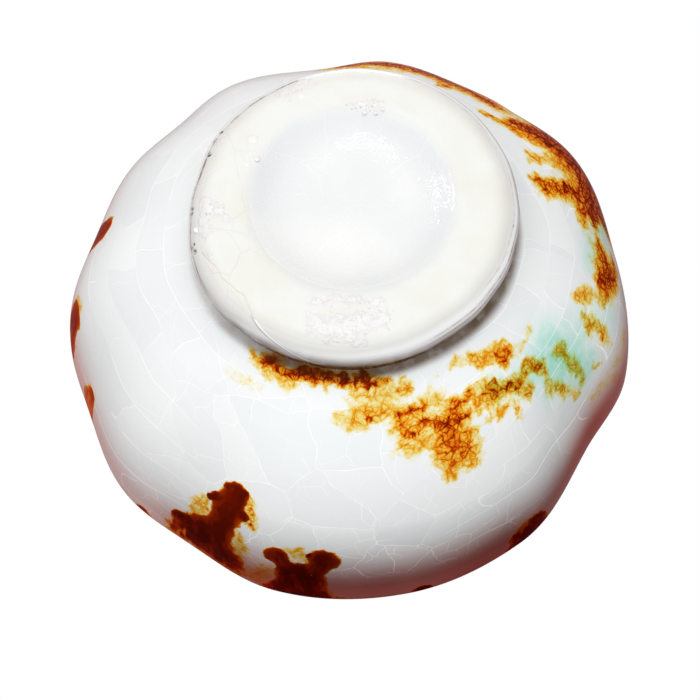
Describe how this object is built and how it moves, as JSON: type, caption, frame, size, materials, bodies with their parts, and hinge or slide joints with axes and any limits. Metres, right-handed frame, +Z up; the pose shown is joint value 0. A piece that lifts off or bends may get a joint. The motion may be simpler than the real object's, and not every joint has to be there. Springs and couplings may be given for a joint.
{
  "type": "guinomi sake cup",
  "caption": "Small hand-pressed stoneware sake cup with a lobed wall, a solid luted foot and a crackled white glaze.",
  "frame": {"origin": "centre of the foot, on the face that the cup rests on", "axes": "+Z up along the cup's axis, -Y towards the side with the most splashes"},
  "size_m": [0.0728, 0.0726, 0.038],
  "materials": {
    "bowl_clay": "matte fired stoneware under the glaze",
    "slip": "matte fired slip",
    "foot_clay": "cream, semi-matte, finely cracked, with grit from firing",
    "outer_glaze": "glossy white crackle glaze with iron-brown and copper-green splashes",
    "inner_glaze": "glossy white crackle glaze",
    "foot_glaze": "glossy white glaze, pooled in the crease",
    "well_glaze": "glossy bluish white glaze"
  },
  "bodies": {
    "root": {"clay_bowl": "bowl_clay", "luting_slip": "slip", "foot": "foot_clay", "outer_glaze": "outer_glaze", "inner_glaze": "inner_glaze", "foot_glaze": "foot_glaze", "well_glaze": "well_glaze"}
  },
  "joints": []
}
